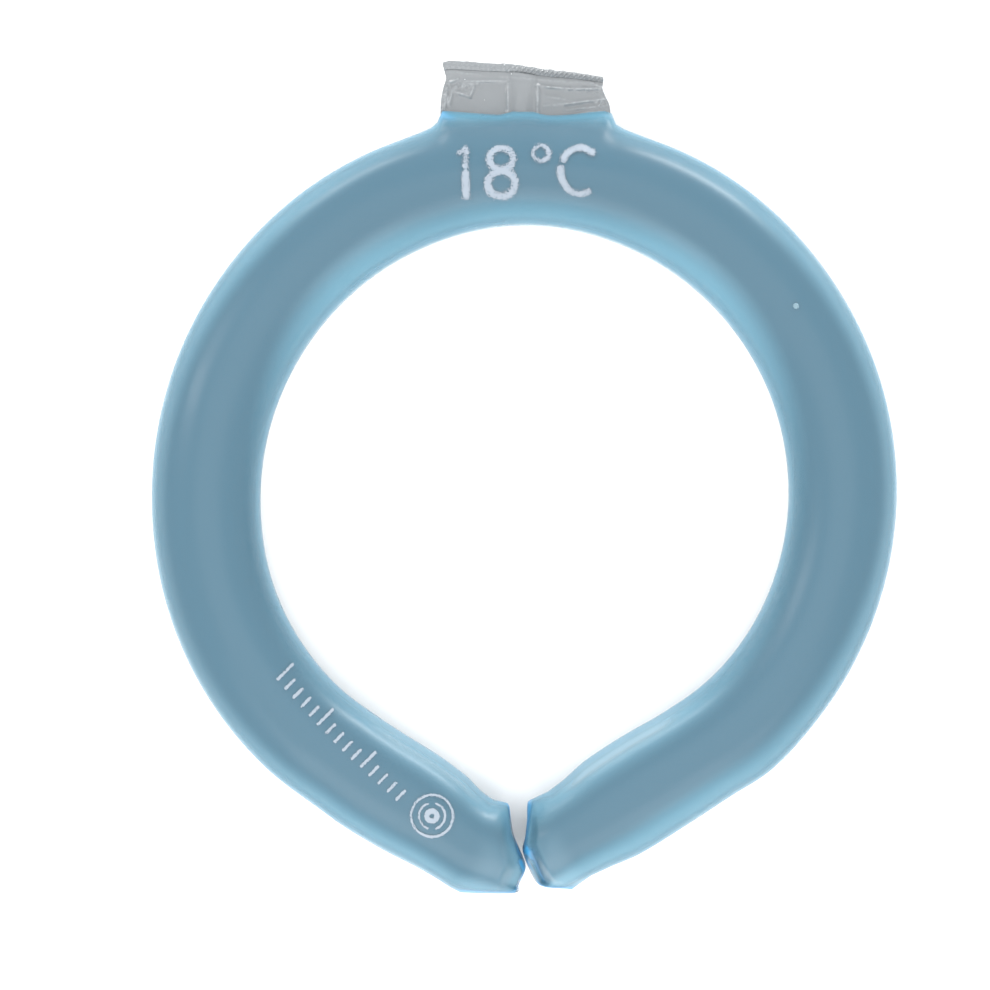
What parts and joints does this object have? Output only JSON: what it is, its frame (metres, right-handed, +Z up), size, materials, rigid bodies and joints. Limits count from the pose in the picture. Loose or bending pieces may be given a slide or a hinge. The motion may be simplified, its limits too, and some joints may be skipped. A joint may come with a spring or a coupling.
{
  "type": "cooling neck ring",
  "caption": "Cooling neck ring: a C-shaped tube of clear frosted film filled with blue gel, with pinched ends that meet at the throat and a flat sealed filling tab at the nape.",
  "frame": {"origin": "middle of the ring's box on the plane that it lies on", "axes": "+Z up, through the neck hole; +Y from the pinched ends at the throat to the filling tab at the nape"},
  "size_m": [0.1788, 0.1996, 0.024],
  "materials": {
    "clear_urethane": "frosted, translucent",
    "blue_gel": "translucent gel",
    "clear_film": "clear, slightly crumpled",
    "crimped_film": "crimped, satin",
    "white_ink": "worn print"
  },
  "bodies": {
    "root": {"tube_skin": "clear_urethane", "cooling_gel": "blue_gel", "fill_tab": "clear_film", "seal_strip": "crimped_film"}
  },
  "joints": []
}
